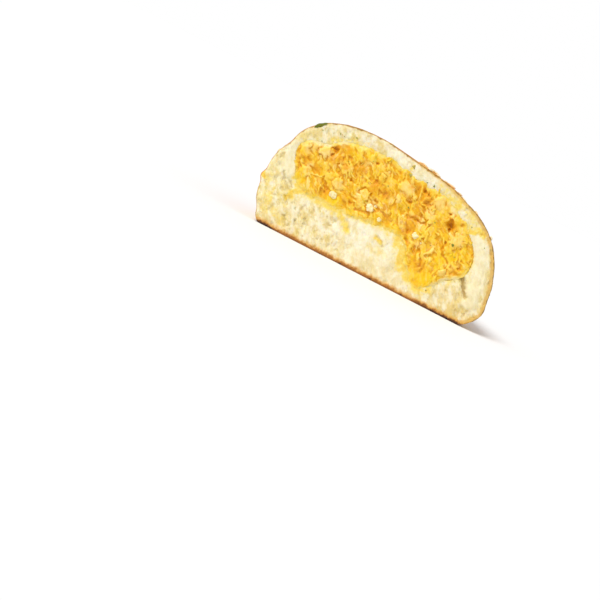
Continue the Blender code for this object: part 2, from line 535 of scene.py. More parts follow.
def foldShare(points):
    # 1 on the smooth folds of dough beside the filling, and what they rise by
    share, rise = np.zeros(len(points)), np.zeros(len(points))
    for line, reach, height in smoothFolds:
        band = fading(fromLine(points, line), 0.45 * reach, reach)
        share = np.maximum(share, band)
        rise = np.maximum(rise, band * height)
    return share, rise


def cutWave(points):
    # the cut isn't quite flat: both the crumb and the filling follow this
    return rollLook["wave"] * smoothNoise(points, rollLook["waveSize"], 9, 2)


def nudged(points):
    # crumb and filling move together, so that no gap opens between them
    front = fading(behindCut(points), 1, 5)
    moved = points.copy()
    for x, z, right, up, radius in nudges:
        share = fading(fromSpot(points, x, z), 0, radius) * front
        moved += share[:, None] * np.array((right, 0, up))
    return moved


def crumbRelief(points, look, inside, toFilling):
    # how far each point of the cut sinks, and what the crumb's material reads
    calm, rise = foldShare(points)
    tender = 0.5 + 0.5 * softStep(abs(points[:, 0] - tenderX), *look["coarse"])
    rough = (1 - 0.85 * calm) * tender * inside * softStep(toFilling, -1.5, 4)
    lengthwise, across = leant(math.radians(look["poreLean"]), points[:, 0], points[:, 2])
    drawnOut = np.stack((0.45 * lengthwise, points[:, 1], across), axis=1)
    tears = smoothNoise(drawnOut, look["tearSize"], 8, 3)
    lumps = smoothNoise(points, look["lumpSize"], 10, 2)
    ragged = warped(points, look["ragged"], look["raggedSize"], 14)
    pores = pitDepths(ragged, scatteredPores(look)) * rough
    cracks = np.zeros(len(points))
    for line, reach, depth in creases:
        cracks = np.maximum(cracks, depth * fading(fromLine(ragged, line), 0, reach * 2))
    sink = (look["tear"] * tears + look["lump"] * lumps) * rough + pores + cracks * inside
    sink += cutWave(points) * (0.3 + 0.7 * inside)
    sink += look["lipDrop"] * fading(toFilling, 1.0, 3.2)
    # pore and crack carry the depth of the pits and cracks, which the crumb's material paints as shade
    marks = {"calm": calm, "pore": np.clip(pores / 0.8, 0, 1), "crack": np.clip(cracks / 1.2, 0, 1)}
    return sink - rise * inside, marks


def crumbStain(points, look, toFilling, calm):
    # a ring of grease round the filling, paler towards the top, and the spots
    ring = 1.05 - 0.8 * softStep(points[:, 2], *look["greasyBelow"])
    for x, z, radius in cleanCrumb:
        ring = ring * (0.25 + 0.75 * softStep(fromSpot(points, x, z), 0.5 * radius, radius))
    blotted = warped(points, look["blot"], look["blotSize"], 17)
    stain = ring * fading(toFilling, *look["grease"]) * (1 - 0.9 * calm)
    for line, reach, strength in stains:
        spot = fading(fromLine(blotted, line), 0.1 * reach, reach)
        stain = np.maximum(stain, strength * spot)
    return stain


def makeRoll(look):
    roll = copyOfNode("bread", "roll")
    filling = surfaceTree(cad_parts["filling"])
    crust = treeWithout("bread", lambda centres, normals: (abs(behindCut(centres)) < 0.02)
                        | (distances(filling, centres) < 0.8))
    refined(roll, look, lambda centres, normals: (normals[:, 1] < -0.7) & (behindCut(centres) < 0.5))
    points = places(roll)
    hidden = (distances(filling, points) < 0.9) & (behindCut(points) > hiddenFrom)
    thinnedWhere(roll, hidden, look["hiddenKept"])
    print("bread remeshed:", len(roll.data.polygons), "faces")

    def isCrumb(centres, normals):
        underCrust = (behindCut(centres) < 4) & (distances(crust, centres) > 0.9)
        return underCrust | (behindCut(centres) < 1.2) & (normals[:, 1] < -0.5)

    roll.data.materials.append(glazedCrust())
    roll.data.materials.append(cutCrumb())
    facesWhere(roll, isCrumb)
    roll.active_material_index = 1
    bpy.ops.object.material_slot_assign()
    bpy.ops.object.mode_set(mode="OBJECT")

    points = places(roll)
    toFilling = distances(filling, points)
    rindDepth = distances(crust, points)
    onCut = (pointNormals(roll)[:, 1] < -0.75) & (behindCut(points) < 0.5)
    inside = softStep(rindDepth, *look["rind"]) * onCut
    shaped = bakedShape(points, look, (rindDepth < 0.3) & ~onCut & (toFilling > 1))
    sink, marks = crumbRelief(points, look, inside, toFilling)
    # the corner behind the cut goes down with it where the filling runs out over it
    lip = (toFilling < 1.2) * ~onCut * fading(behindCut(points), 0.4, 1.8)
    shaped[:, 1] += onCut * sink + lip * (cutWave(points) + look["lipDrop"] + look["cornerDrop"])
    setPlaces(roll, nudged(shaped))
    marks["rindDepth"] = rindDepth
    marks["stain"] = crumbStain(points, look, toFilling, marks["calm"])
    paintMarks(roll, marks)
    only(roll)
    bpy.ops.object.shade_smooth()
    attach(roll, "root")
    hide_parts("bread")
    print("crumb and crust shaped")
    return roll


def glazedCrust():
    # egg-washed crust: golden, deeper where it caught the heat, matt and pale at the foot
    mat = newMaterial("glazed crust")
    x, y, z = axes(mat)
    broad = spread(mat, speckle(mat, 24, 3, 0.55), 0.35, 0.7, 0, 0.62)
    heat = calc(mat, "ADD", spread(mat, x, -48, 12, 0.5, 0), broad)
    colour = ramped(mat, heat, [(0.05, "#F9B800"), (0.3, "#F4AA00"), (0.52, "#EB9200"), (0.75, "#DA6E00"),
                                (1.0, "#BA5200")])
    someParts = spread(mat, speckle(mat, 20, 1), 0.5, 0.6)
    footZ = wavering(mat, z, 4.5, 15, 2)
    foot = spread(mat, footZ, 6.2, 8.0, 1, 0, True)
    tan = over(mat, "#E8BC58", "#D79E3E", speckle(mat, 2.5, 4), 0.35, 0.7)
    lessLeft = spread(mat, x, -44, -34, 0.45, 1)
    colour = layered(mat, colour, [
        ("#E08C00", speckle(mat, 3.2, 4, 0.65), 0.44, 0.72, 0.5),
        ("#AC5E0A", speckle(mat, 1.1, 3, 0.7), 0.66, 0.8, 0.4),
        ("#7A3C0A", cells(mat, 9), 0.07, 0.03, 1, someParts),
        ("#C87A10", footZ, 9.5, 7.6, 0.55, None, True),
        (tan, foot, 0, 1),
        ("#9C6A1C", y, cutY + 2.6, cutY + 0.6, 0.7, lessLeft, True),
        ("#6E3C12", wavering(mat, z, 0.8, 4), 1.6, 0.3),
    ])
    shine = spread(mat, speckle(mat, 9, 4, 0.6), 0.35, 0.65, 0.26, 0.5)
    crinkle = speckle(mat, 1.5, 3, 0.55, 0.6)
    wrinkled = spread(mat, speckle(mat, 14, 1), 0.45, 0.65, 0.12, 1)
    creased = bumped(mat, calc(mat, "MULTIPLY", crinkle, wrinkled), 0.22)
    dulled = calc(mat, "ADD", shine, calc(mat, "MULTIPLY", foot, 0.3))
    return finish(mat, Base_Color=colour, Roughness=dulled,
                  Normal=bumped(mat, speckle(mat, 0.45, 2), 0.03, creased),
                  Specular_IOR_Level=0.2, Specular_Tint="#FFE0A0", Coat_Weight=0.14, Coat_Roughness=0.14,
                  Coat_Tint="#FFF2D0", Subsurface_Weight=0.06,
                  Subsurface_Radius=(1.0, 0.5, 0.1), Subsurface_Scale=1.0 * mm)


def cutCrumb():
    # pale, tender crumb with the thin section of the crust round it and grease from the filling
    mat = newMaterial("cut crumb")
    x, _, z = axes(mat)
    calm, crack = attribute(mat, "calm"), attribute(mat, "crack")
    leaning = stretched(mat, (1, 1, 2.2), (0, math.radians(-32), 0))
    streaks = speckle(mat, 1.4, 5, 0.65, 0, leaning)
    blotches = speckle(mat, 2.6, 2, 0.5, 0, leaning)
    aside = wavering(mat, calc(mat, "ABSOLUTE", calc(mat, "SUBTRACT", x, tenderX)), 6, 9, 2)
    openness = spread(mat, aside, 10, 22, 0.3, 1)  # the middle is tender and even
    lowZ = wavering(mat, z, 2.5, 5)
    lowRight = spread(mat, x, 4, 22, 0.45, 0.8)
    lowOuter = calc(mat, "MAXIMUM", spread(mat, x, -30, -40, 0, 0.25), spread(mat, x, 30, 42, 0, 0.6))
    folded = over(mat, "#F5EBC8", "#E9DCAE", streaks, 0.42, 0.66)
    patchy = spread(mat, speckle(mat, 2.2, 5, 0.65), 0.3, 0.62, 0.15, 1.3)
    stained = calc(mat, "MULTIPLY", attribute(mat, "stain"), patchy)
    depth = wavering(mat, attribute(mat, "rindDepth"), 0.35, 2.2)
    rightThicker = calc(mat, "SUBTRACT", depth, spread(mat, x, -10, 50, -0.5, 1.0))
    lessLeft = spread(mat, x, -52, -42, 0.45, 1)
    footZ = wavering(mat, z, 0.6, 2.4, 4, 0.6)
    ends = calc(mat, "MAXIMUM", spread(mat, x, -36, -43, 0.35, 1), spread(mat, x, 24, 34, 0.35, 1))
    colour = over(mat, "#F6EDCE", "#ECDCAC", speckle(mat, 7, 3), 0.35, 0.66)
    colour = layered(mat, colour, [
        ("#EBD68A", speckle(mat, 3.6, 3, 0.55), 0.5, 0.62, 0.85, openness),
        ("#F7F0D6", speckle(mat, 4.4, 3, 0.55), 0.47, 0.34, 0.8),
        ("#F2DF8C", x, -20, -48, 0.5),
        ("#EAD692", x, 22, 46, 0.7),
        ("#E4D198", lowZ, 11, 3, 1, lowRight),
        ("#E4BE5A", lowZ, 11, 3, 1, lowOuter),
        ("#F9F2D8", streaks, 0.5, 0.34, 0.6),
        ("#E3CA86", streaks, 0.5, 0.72, 0.85, openness),
        ("#DEC67C", speckle(mat, 1.9, 3, 0.6), 0.53, 0.66, 0.65, openness),
        # painted shade in the pores, darker the deeper they are
        ("#D8C080", attribute(mat, "pore"), 0, 1, 0.55),
        ("#FAF3DA", blotches, 0.5, 0.36, 0.6),
        ("#E4CB7A", blotches, 0.53, 0.66, 0.6, openness),
        ("#C2AC62", cells(mat, 3.0), 0.17, 0.08, 0.4, openness),
        (folded, calm, 0, 1, 0.8),
        # painted shade in the cracks, darker where they are deepest
        ("#D2BC78", crack, 0.1, 0.7, 0.6),
        ("#BC9A54", crack, 0.6, 1.0, 0.7),
        ("#F5D658", stained, 0.1, 0.75, 0.9),
        ("#EFBE2C", stained, 0.75, 1.25, 0.55),
        ("#DDB055", rightThicker, 1.5, 0.4, 0.85, lessLeft, True),
        ("#96702A", depth, 0.7, 0.15, 0.95, lessLeft, True),
        ("#DFAA50", footZ, 3.0, 1.3, 0.85, None, True),
        ("#B8742A", footZ, 1.9, 0.9, 0.9, None, True),
        ("#5E3412", footZ, 1.4, 0.5, 1, ends, True),
    ])
    rough = spread(mat, calm, 0, 1, 1, 0.2)
    foam = bumped(mat, calc(mat, "MULTIPLY", cells(mat, 0.8, leaning), rough), 0.18)
    grain = calc(mat, "MULTIPLY", speckle(mat, 0.5, 3, 0.6), rough)
    return finish(mat, Base_Color=colour, Roughness=spread(mat, stained, 0.3, 1.1, 0.85, 0.5),
                  Normal=bumped(mat, grain, 0.16, foam), Subsurface_Weight=0.3,
                  Subsurface_Radius=(1.0, 0.75, 0.4), Subsurface_Scale=1.3 * mm)


# the filling: moist torn shreds in sauce

fillingLook = {
    "grid": 0.44,
    "hiddenKept": 0.25,
    "swell": 0.45,  # pushed out, so that it closes the gap to the bread
    # how far its rim runs out over the crumb, and how far in that begins
    "spill": (1.0, 2.9), "spillFrom": 4.0,
    "layers": [  # flakes, from the broad ones below to the fine ones on top
        {"count": 190, "length": (2.6, 5.6), "width": (1.1, 2.1), "level": 0.2, "spread": 0.3, "edge": 0.6},
        {"count": 360, "length": (2.2, 5.0), "width": (0.5, 1.0), "level": 0.35, "spread": 0.3, "edge": 0.5},
        {"count": 220, "length": (1.6, 3.8), "width": (0.3, 0.55), "level": 0.5, "spread": 0.25, "edge": 0.4},
    ],
    "boldLevel": 0.95, "boldEdge": 0.5,
    "lean": -58, "leanSpread": 22, "leanDrift": 12,  # degrees, and how far apart it changes
    "floor": -0.25, "sauceLevel": 0.15,
    "fibre": 0.7, "fibreDepth": 0.05,
    "ragged": 0.55, "raggedSize": 1.5, "sway": 1.1, "swaySize": 5,
    "torn": 0.5, "tornSize": 1.4, "drawn": 1.1, "drawnSize": 3.4,  # the outlines of the pockets
    "pocketShare": 0.75, "gapDepth": 0.7, "gapWidth": 0.9,
    "blot": 1.2, "blotSize": 2.6,
    "toneSize": 6,
    "moist": 6,  # rounds of smoothing that run the shreds together
    "levelled": 40,  # and those after which what still lies deeper counts as hollow
}

# (x, z, radius): where the rim hardly runs out over the crumb
heldBack = [(-40, 42, 11), (-28, 47, 8), (-28, 19, 13), (42, 20, 6), (37, 14.5, 7), (11, 17, 5)]
# (x, z, radius, depth): pockets between the shreds, where dark sauce sits and painted shade deepens with
# their depth
pockets = [
    (25.3, 35.6, 2.4, 2.4), (25.2, 33.4, 1.3, 2.2), (-31.8, 42.6, 1.9, 2.2), (-31.6, 39.4, 1.4, 1.7),
    (-24.2, 41, 1.2, 1.2), (-19.3, 41.2, 1.4, 1.3), (-13.3, 44.6, 1.2, 1.6), (-10.2, 37.4, 1.4, 1.4),
    (-5.4, 34.8, 1.8, 1.3), (12.6, 39.2, 1.8, 1.7), (9.2, 43.6, 1.5, 1.8), (11.2, 42.8, 1.1, 1.6),
    (22.8, 39.6, 0.9, 1.6), (25.8, 28, 1.2, 1.8), (5, 36.8, 1.3, 1.5), (-19.8, 33.4, 1.1, 1.3),
    (-16.4, 25.6, 1.3, 1.4), (-39.4, 33.6, 1.0, 0.9), (-15.2, 30.6, 1.2, 1.0), (10.7, 25.6, 1.3, 1.2),
    (11.5, 21.8, 1.0, 1.2), (21.6, 29.8, 0.8, 1.0), (-28.6, 24.2, 1.5, 1.1), (-41.2, 30.6, 0.8, 0.9),
    (17.4, 23.6, 0.9, 1.0), (-26, 34.2, 0.8, 0.8), (-36.6, 37.0, 0.8, 0.9), (36.4, 21.2, 1.0, 1.0),
    (-9.1, 43.7, 0.7, 0.9), (-3, 45.2, 1.6, 0.9),
]
# thin gaps between the shreds, which get the pockets' painted shade too
gaps = [
    [(25.7, 28), (27.2, 24.8), (29, 21.8), (31.2, 21.0)],
    [(-4.6, 28.6), (-1, 26.6), (2.8, 26)],
    [(-13.6, 23.4), (-11.2, 24.6), (-8.2, 24.2), (-4.6, 27.6), (-7.6, 30.4)],
    [(-45.3, 36.6), (-43.9, 32.5), (-42.5, 29), (-42, 26.5)],
    [(37.3, 31), (38.6, 28.4), (39.6, 25.3)],
    [(-31.6, 29.4), (-29.4, 27.4), (-27, 25.4)],
    [(18.4, 20.8), (20, 17.4), (22.2, 15.0)],
    [(15.4, 31.4), (9.6, 31.6), (7.2, 30.2)],
    [(12, 37.0), (13.4, 33.0)],
]
# (x, z, half length, half width, lean, tone): flakes that stand out
boldFlakes = [
    (2.2, 41.0, 3.8, 2.8, -35, 0.72), (0.6, 35.4, 2.4, 0.9, -60, 0.95), (5.6, 27.4, 3.4, 0.8, -58, 0.93),
    (17.6, 41.6, 3.4, 2.2, -10, 0.74), (-34.8, 39.6, 2.6, 2.4, -60, 0.8), (-23.6, 29.6, 2.8, 2.6, -58, 0.66),
    (30.6, 31.0, 3.4, 3.0, 20, 0.62), (-25, 35.8, 2.6, 1.8, -60, 0.62), (16, 34, 3.2, 2.0, -50, 0.66),
    (-12.5, 29.6, 3.0, 2.6, -35, 0.74), (-15.6, 45.4, 2.2, 1.8, -70, 0.72), (-42.2, 37.6, 1.6, 1.4, 0, 0.78),
    (-8.8, 39.8, 2.0, 2.2, 20, 0.6), (23.4, 38.0, 2.4, 0.8, 30, 0.8), (30.8, 15.6, 2.6, 1.8, -40, 0.7),
    (19.6, 17.6, 2.8, 0.7, -60, 0.84), (-38.4, 28.4, 2.6, 2.0, -50, 0.7),
]
# (x, z, radius): where the sauce is deep orange, plain yellow, or thin over pale shreds
tints = {
    "orange": [(-18.6, 39.4, 3.4), (-30, 38.2, 3.0), (-31.4, 42.4, 2.8), (-10, 36, 3.4), (-5, 34.6, 2.8),
               (11.8, 40, 3.4), (5.2, 43.6, 2.6), (9.4, 43.4, 2.4), (10, 27.4, 3.0), (-2.4, 30, 2.2),
               (0.6, 25.8, 2.6), (-27.6, 23.8, 2.6), (-15.8, 25, 1.8), (24.2, 44.8, 2.4), (25.4, 35.4, 3.2),
               (33, 37.4, 2.6), (-34.4, 31.6, 2.6), (35.6, 18.4, 2.2), (19.6, 15.2, 2.4), (-25, 37.6, 2.0),
               (-39.6, 33.4, 2.2), (15.6, 20.6, 1.8), (21, 14.6, 3.2), (10.4, 30.6, 3.2), (-28, 39.6, 2.8),
               (10, 45.6, 2.6), (9.6, 24.4, 2.2)],
    "yellow": [(-39, 25, 3.0), (-13.6, 38, 2.8), (-23, 22.4, 4.0), (-17, 46, 2.4), (32, 25, 4.0),
               (27, 10.5, 5.0), (21, 11, 3.4), (-1.6, 39.6, 2.2), (4, 24.6, 3.4), (-5.6, 22.6, 2.8),
               (39, 27.6, 1.8), (27.6, 20, 3.4), (3.4, 32.6, 2.6), (-23, 43.6, 2.6), (-14, 22.2, 3.0),
               (19.4, 15.6, 3.0), (12, 23.6, 2.4)],
    "pale": [(-29.6, 45.6, 2.2), (2.2, 41, 3.6), (17.4, 41.6, 3.4), (-34.4, 39.4, 3.0), (-41.6, 37.2, 2.4),
             (30.6, 31, 3.2), (-23.4, 29.4, 2.8), (-8, 28.8, 2.8), (6, 27, 1.6), (0.4, 35.2, 1.6),
             (-16.4, 43.4, 2.4), (17, 22.4, 2.0), (32, 15.6, 2.4), (15.4, 36.4, 2.4), (23.2, 41.2, 2.2),
             (-38.2, 31.2, 2.0), (-39.2, 41.2, 3.4), (-35.4, 43.6, 2.4), (35, 11.8, 3.0), (31, 8.4, 2.6),
             (37.6, 15.8, 2.4)],
}
# (x, z, radius): pools of sauce that level the shreds
sauceSpots = [(25.6, 10.5, 4.4), (37, 26.5, 2.2), (32, 24, 3.2), (-39, 25, 2.6), (-23, 22.6, 3.2),
              (2, 24.4, 2.6)]


def leanAt(x, z, look, rng):
    drift = noise.noise(Vector((x, 0, z)) / look["leanDrift"])
    return math.radians(look["lean"] + 60 * drift + rng.gauss(0, look["leanSpread"]))


def toneAt(points, look):
    return 0.5 + 0.42 * smoothNoise(points, look["toneSize"], 29, 3)


def tinted(points, colour):
    # how far a point lies within the spots of one tint, from 0 to 1
    blotted = warped(points, 1.1, 2.4, 51)
    share = np.zeros(len(points))
    for x, z, radius in tints[colour]:
        share = np.maximum(share, fading(fromSpot(blotted, x, z), 0.3 * radius, 1.3 * radius))
    return share


def scatteredFlakes(look, rng):
    flakes = []
    for layer in look["layers"]:
        for _ in range(layer["count"]):
            x = rng.uniform(fillingLow.x, fillingHigh.x)
            z = rng.uniform(fillingLow.z, fillingHigh.z)
            level = layer["level"] + rng.gauss(0, layer["spread"] * 0.6)
            flakes.append((x, z, rng.uniform(*layer["length"]), rng.uniform(*layer["width"]),
                           leanAt(x, z, look, rng), level, layer["edge"], rng.gauss(0, 0.19)))
    for x, z, length, width, lean, flakeTone in boldFlakes:
        flakes.append((x, z, length, width, math.radians(lean), look["boldLevel"], look["boldEdge"],
                       flakeTone - 0.5))
    return flakes


def flakeField(points, look):
    # lays overlapping torn flakes on the face and returns their height and tone
    rng = random.Random(23)
    swayed = warped(points, look["ragged"], look["raggedSize"], 41)
    swayed = warped(swayed, look["sway"], look["swaySize"], 43)
    height = np.full(len(points), look["floor"])
    slowTone = toneAt(points, look)
    tone = slowTone - 0.2
    for number, (x, z, length, width, lean, level, edge, shade) in enumerate(scatteredFlakes(look, rng)):
        dx, dz = swayed[:, 0] - x, swayed[:, 2] - z
        near = np.nonzero((abs(dx) < length) & (abs(dz) < length))[0]
        lengthwise, across = leant(lean, dx[near], dz[near])
        across = across + 0.3 * width * np.sin(lengthwise / length * 2.2 + number)
        # each strand of a flake ends at a length of its own
        strand = np.sin(np.floor(across / (0.5 * look["fibre"])) * 12.9898 + number) * 43758.5
        frayed = length * (0.7 + 0.3 * (strand - np.floor(strand)))
        share = 1 - (lengthwise / frayed) ** 4 - (across / width) ** 2
        sway = 2 * np.sin(lengthwise / 0.9)
        fibres = look["fibreDepth"] * np.cos(across * 2 * math.pi / look["fibre"] + sway)
        tilt = lengthwise * rng.uniform(-0.12, 0.12) + across * rng.uniform(-0.2, 0.2)
        top = level + tilt + fibres - edge * (1 - np.clip(share, 0, 1)) ** 2
        wins = (share > 0) & (top > height[near])
        chosen = near[wins]
        height[chosen] = top[wins]
        tone[chosen] = slowTone[chosen] + shade
    return height, tone


def rimSpill(points, look, outwards):
    # how far the rim runs out at each point, and how near that is to a fold of dough
    least, most = look["spill"]
    spill = least + (most - least) * softStep(smoothNoise(points, 3.2, 34, 4), -0.4, 0.5)
    besideFold = foldShare(warped(points + outwards * 2, 1.0, 3, 61))[0]
    spill *= 1 - 0.7 * besideFold
    for x, z, radius in heldBack:
        spill *= 0.4 + 0.6 * softStep(fromSpot(points, x, z), 0.6 * radius, radius)
    spill += 0.4 * smoothNoise(points, 1.4, 38) + 0.3 * smoothNoise(points, 3, 62)
    return spill, besideFold


def withSauce(points, look, height, tone):
    # the pools of sauce fill up between the flakes and even out their colour
    blotted = warped(points, look["blot"], look["blotSize"], 37)
    level = look["sauceLevel"] + 0.12 * smoothNoise(points, 2, 31)
    for x, z, radius in sauceSpots:
        flat = fading(fromSpot(blotted, x, z), 0.3 * radius, radius)
        height = height * (1 - flat) + level * flat
        tone = tone * (1 - 0.7 * flat) + 0.3 * 0.7 * flat
    return height, tone


def pocketDepths(points, look):
    torn = warped(points, look["torn"], look["tornSize"], 39)
    torn = warped(torn, look["drawn"], look["drawnSize"], 57)
    sunk = np.zeros(len(points))
    for x, z, radius, depth in pockets:
        lengthwise, across = leant(math.radians(look["lean"]), torn[:, 0] - x, torn[:, 2] - z)
        share = fading(np.hypot(lengthwise / 1.4, across), 0.1 * radius, radius)
        sunk = np.maximum(sunk, look["pocketShare"] * depth * share)
    for line in gaps:
        sunk = np.maximum(sunk, look["gapDepth"] * fading(fromLine(torn, line), 0.1, look["gapWidth"]))
    return sunk


def makeFilling(look):
    mass = copyOfNode("filling", "fillingMass")
    walls = treeWithout("filling", lambda centres, normals: behindCut(centres) < 0.3)
    only(mass)
    bpy.ops.object.mode_set(mode="EDIT")
    bpy.ops.mesh.select_all(action="SELECT")
    bpy.ops.transform.shrink_fatten(value=look["swell"] * mm)
    bpy.ops.object.mode_set(mode="OBJECT")
    refined(mass, look, lambda centres, normals: (normals[:, 1] < -0.6) & (behindCut(centres) < 1))
    thinnedWhere(mass, behindCut(places(mass)) > hiddenFrom, look["hiddenKept"])
    print("filling remeshed:", len(mass.data.polygons), "faces")

    points = places(mass)
    front = fading(behindCut(points), 0.3, 1.5)
    behindRim = np.maximum(behindCut(points) + 0.2, 0)
    outwards = np.array([walls.find_nearest(Vector(p))[1] for p in points])
    outwards[:, 1] = 0
    outwards /= np.maximum(np.linalg.norm(outwards, axis=1), 0.001)[:, None]
    atRim = fading(distances(walls, points), 0, look["spillFrom"]) * front
    spill, besideFold = rimSpill(points, look, outwards)
    points = points + outwards * (spill * atRim)[:, None]

    height, tone = withSauce(points, look, *flakeField(points, look))
    sunk = pocketDepths(points, look)
    plainRim = 1 - 0.6 * besideFold  # beside a fold the shreds run right up to it
    atEdge = softStep(atRim + 0.22 * smoothNoise(points, 2.6, 35, 3), 0.5, 0.9) * plainRim
    crumbLevel = 0.18 * smoothNoise(points, 1.3, 33, 3)
    crumbLevel -= (0.25 + 0.12 * spill) * softStep(atRim, 0.75, 1.0)
    relief = (height - sunk) * (1 - atEdge) + crumbLevel * atEdge - cutWave(points)
    shaped = points.copy()
    shaped[:, 1] = points[:, 1] * (1 - front) + (cutY - relief + behindRim) * front
    setPlaces(mass, nudged(shaped))

    group = mass.vertex_groups.new(name="face")
    group.add([int(i) for i in np.nonzero(front > 0.5)[0]], 1.0, "REPLACE")
    applied(mass, "SMOOTH", factor=0.5, iterations=look["moist"], vertex_group="face")
    shaped = places(mass)
    applied(mass, "SMOOTH", factor=0.5, iterations=look["levelled"], vertex_group="face")
    hollow = (shaped - places(mass))[:, 1]  # how much deeper than what is round it
    setPlaces(mass, shaped)
    mass.vertex_groups.clear()

    rim = softStep(atRim + 0.16 * smoothNoise(points, 3.4, 36, 3), 0.5, 0.98)
    # hollow and low are read by the sauce's material as painted highlight on the ridges and painted shade in
    # the hollows and low places
    marks = {"tone": tone, "edge": rim * plainRim, "hollow": np.clip(hollow / 0.25, -1, 1),
             "low": np.clip((look["sauceLevel"] - height) / 0.5, 0, 1), "pocket": np.clip(sunk / 2.0, 0, 1)}
    for colour in tints:
        marks[colour] = tinted(points, colour)
    paintMarks(mass, marks)
    mass.data.materials.append(sauced())
    only(mass)
    bpy.ops.object.shade_smooth()
    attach(mass, "root")
    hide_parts("filling")
    print("shreds and sauce shaped")
    return mass


def sauced():
    # yellow to orange sauce, thin and pale on the rim, with a painted highlight on the ridges, painted shade
    # in the hollows and low places, and dark sauce with painted shade in the pockets
    mat = newMaterial("sauced shreds")
    low, pocket, hollow = [attribute(mat, name) for name in ("low", "pocket", "hollow")]
    pale, yellow, orange = [attribute(mat, name) for name in ("pale", "yellow", "orange")]
    varied = wavering(mat, attribute(mat, "tone"), 0.2, 1.6, 4, 0.6)
    colour = ramped(mat, varied, [(0.0, "#E4A206"), (0.2, "#EDB50A"), (0.42, "#F4C61C"), (0.6, "#F8CF36"),
                                  (0.76, "#F7CC48"), (0.88, "#F9D25E"), (1.0, "#FCDE84")])
    broken = spread(mat, speckle(mat, 1.3, 4, 0.6), 0.3, 0.62, 0.35, 1)
    lessOrange = spread(mat, orange, 0, 0.8, 1, 0.2)
    steep = stretched(mat, (1, 1, 3.4), (0, math.radians(-24), 0))
    slanting = stretched(mat, (1, 1, 3.0), (0, math.radians(-62), 0))
    strands = mixed(mat, spread(mat, speckle(mat, 7, 2), 0.46, 0.54),
                    speckle(mat, 1.0, 4, 0.6, 0, steep), speckle(mat, 1.0, 4, 0.6, 0, slanting))
    ragged = wavering(mat, attribute(mat, "edge"), 0.35, 1.5, 4, 0.6)
    colour = layered(mat, colour, [
        ("#F8D484", pale, 0, 1, 0.75, broken),
        ("#F7CC02", yellow, 0, 1, 0.95, broken),
        ("#E29404", orange, 0, 1, 0.85, broken),
        # painted highlight on the ridges, then painted shade in the hollows
        ("#FFDC78", hollow, -0.1, -0.8, 0.4, lessOrange),
        ("#DC9806", hollow, 0.05, 0.7, 0.8),
        # painted shade in the low places between the flakes
        ("#EDA80A", low, 0.0, 1.0, 0.35),
        # dark sauce and painted shade in the pockets and gaps, darker the deeper they are
        ("#DE920A", pocket, 0.08, 0.4, 0.7),
        ("#B87008", pocket, 0.4, 0.8, 0.8),
        ("#E6A408", strands, 0.52, 0.7, 0.65),
        ("#FBDC7E", strands, 0.48, 0.32, 0.5, lessOrange),
        ("#F8D04A", ragged, 0.2, 0.7, 0.8),
        ("#F7DC80", ragged, 0.6, 1.1, 0.85),
        ("#F3E0A6", ragged, 0.1, 0.6, 0.8, pale),
    ])
    fibres = bumped(mat, strands, 0.15)
    return finish(mat, Base_Color=colour, Roughness=spread(mat, speckle(mat, 2.5, 3), 0.3, 0.7, 0.32, 0.6),
                  Normal=bumped(mat, speckle(mat, 0.5, 3, 0.6), 0.06, fibres), Specular_IOR_Level=0.3,
                  Subsurface_Weight=0.35, Subsurface_Radius=(1.0, 0.8, 0.25), Subsurface_Scale=1.6 * mm)


# loose shreds on the filling, one mesh copied about

shredLook = {
    # half length, half width, half thickness, and the bend in degrees
    "kinds": [(2.4, 0.42, 0.26, 50), (1.9, 0.55, 0.3, -70), (3.1, 0.36, 0.24, 85), (1.4, 0.62, 0.34, 30),
              (2.2, 0.3, 0.22, -110), (1.1, 0.5, 0.36, 20)],
    "count": 60,
    "sides": 7, "rings": 8,
    "lumpSize": 0.9, "lump": 0.3,
    "sunk": 0.25,
}


def bent(piece, method, axis, degrees):
    applied(piece, "SIMPLE_DEFORM", deform_method=method, deform_axis=axis, angle=math.radians(degrees))


def shredKind(number, sizes, look):
    kind = lyingBall("shred kind %d" % number, look["sides"], look["rings"], sizes[:3])
    crumbled(kind, look["lumpSize"], look["lump"])
    bent(kind, "TWIST", "X", 40 + 25 * number)
    bent(kind, "BEND", "Z", sizes[3])
    return kind


def makeShreds(look, mass):
    rng = random.Random(31)
    kinds = [shredKind(number, sizes, look) for number, sizes in enumerate(look["kinds"])]
    tree = surfaceTree(mass)
    copies = []
    while len(copies) < look["count"]:
        x = rng.uniform(fillingLow.x - 1, fillingHigh.x + 1)
        z = rng.uniform(fillingLow.z - 1, fillingHigh.z + 1)
        place, normal = seenFromFront(tree, x, z)
        if place is None or place.y > cutY + 0.3:
            continue
        lean = leanAt(x, z, fillingLook, rng)
        out = (normal + Vector((0, -1.2, 0))).normalized()
        out.rotate(Euler((rng.gauss(0, 0.22), 0, rng.gauss(0, 0.22))))
        turn = facing(out, Vector((math.cos(lean), 0, math.sin(lean))))
        copy = placedCopy(rng.choice(kinds), place - out * look["sunk"], turn, rng.uniform(0.75, 1.15))
        spot = np.array([[x, cutY, z]])
        count = len(copy.data.vertices)
        paintPoints(copy, "tone", np.full(count, toneAt(spot, fillingLook)[0] + rng.gauss(0.04, 0.12)))
        for colour in tints:
            paintPoints(copy, colour, np.full(count, tinted(spot, colour)[0]))
        copies.append(copy)
    shreds = joined(copies, kinds, "looseShreds")
    shreds.data.materials.clear()
    shreds.data.materials.append(mass.data.materials[0])
    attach(shreds, "root")
    print("loose shreds:", len(shreds.data.polygons), "faces")
    return shreds


# pale lumps in the filling

lumpLook = {
    # (x, z, half width)
    "spots": [(-24, 24.6, 1.5), (-8, 26.8, 1.5), (14.2, 25, 1.4), (-2.3, 24.2, 0.9), (17.6, 23.2, 0.8),
              (-6.2, 28.4, 0.9)],
    "crumbleSize": 1.1,
    "crumble": 0.9, "sunk": 0.15,  # both as shares of the half width
}


